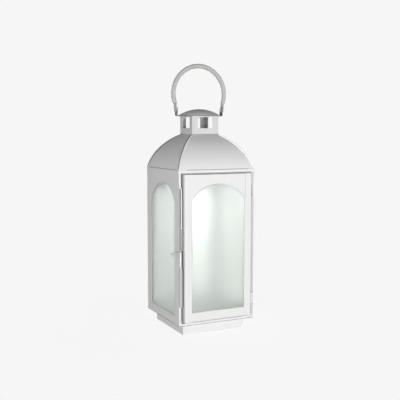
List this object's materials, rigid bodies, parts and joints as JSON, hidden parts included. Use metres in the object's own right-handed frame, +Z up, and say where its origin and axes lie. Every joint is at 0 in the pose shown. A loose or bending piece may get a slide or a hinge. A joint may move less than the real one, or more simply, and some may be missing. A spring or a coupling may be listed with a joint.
{
  "type": "lantern",
  "caption": "Square candle lantern of painted sheet steel: arched frosted windows, hinged door with a slide bolt, curved hip roof, vent neck, round cap and ring bail.",
  "frame": {"origin": "middle of the base, on the surface that the lantern stands on", "axes": "+Z up, the door faces -Y, the door's hinges are at +X and its latch at -X"},
  "size_m": [0.1668, 0.16, 0.4895],
  "materials": {
    "painted_steel": "matt white enamel on folded sheet",
    "painted_inside": "matt white enamel, inner pieces",
    "painted_bar": "matt white enamel on round bar",
    "frosted_glass": "acid-frosted float glass",
    "zinc_steel": "zinc-plated turned steel"
  },
  "bodies": {
    "case": {"plinth": "painted_steel", "floor_pan": "painted_inside", "left_wall": "painted_steel", "right_wall": "painted_steel", "back_wall": "painted_steel", "front_frame": "painted_steel", "door_stop": "painted_inside", "eave_plate": "painted_inside", "left_glass": "frosted_glass", "right_glass": "frosted_glass", "back_glass": "frosted_glass", "left_glass_clips": "painted_inside", "right_glass_clips": "painted_inside", "back_glass_clips": "painted_inside", "roof_front_panel": "painted_steel", "roof_back_panel": "painted_steel", "roof_left_panel": "painted_steel", "roof_right_panel": "painted_steel", "vent_neck": "painted_steel", "bail_strap": "painted_steel", "strap_rivets": "zinc_steel", "cap": "painted_steel", "bail_rivets": "zinc_steel", "upper_hinge_frame_leaf": "painted_steel", "upper_hinge_pin": "zinc_steel", "lower_hinge_frame_leaf": "painted_steel", "lower_hinge_pin": "zinc_steel", "latch_upper_guide": "painted_steel", "latch_lower_barrel": "painted_steel"},
    "door": {"door_latch_stile": "painted_steel", "door_hinge_stile": "painted_steel", "door_bottom_rail": "painted_steel", "door_arch_head": "painted_steel", "door_glass": "frosted_glass", "door_glass_clips": "painted_inside", "upper_hinge_door_leaf": "painted_steel", "lower_hinge_door_leaf": "painted_steel", "latch_keeper": "painted_steel", "keeper_rivets": "zinc_steel"},
    "bail": {"bail_handle": "painted_bar"},
    "bolt": {"latch_bolt": "zinc_steel", "latch_knob": "zinc_steel"}
  },
  "joints": [
    {"name": "door_hinge", "type": "hinge", "parent": "case", "child": "door", "pos_m": [0.068, -0.082, 0.159], "axis": [0, 0, 1], "range_deg": [0, 170]},
    {"name": "bail_pivot", "type": "hinge", "parent": "case", "child": "bail", "pos_m": [0, 0, 0.405], "axis": [1, 0, 0], "range_deg": [-135, 135]},
    {"name": "bolt_slide", "type": "slide", "parent": "case", "child": "bolt", "axis": [0, 0, 1], "range_m": [0, 0.0422]}
  ]
}
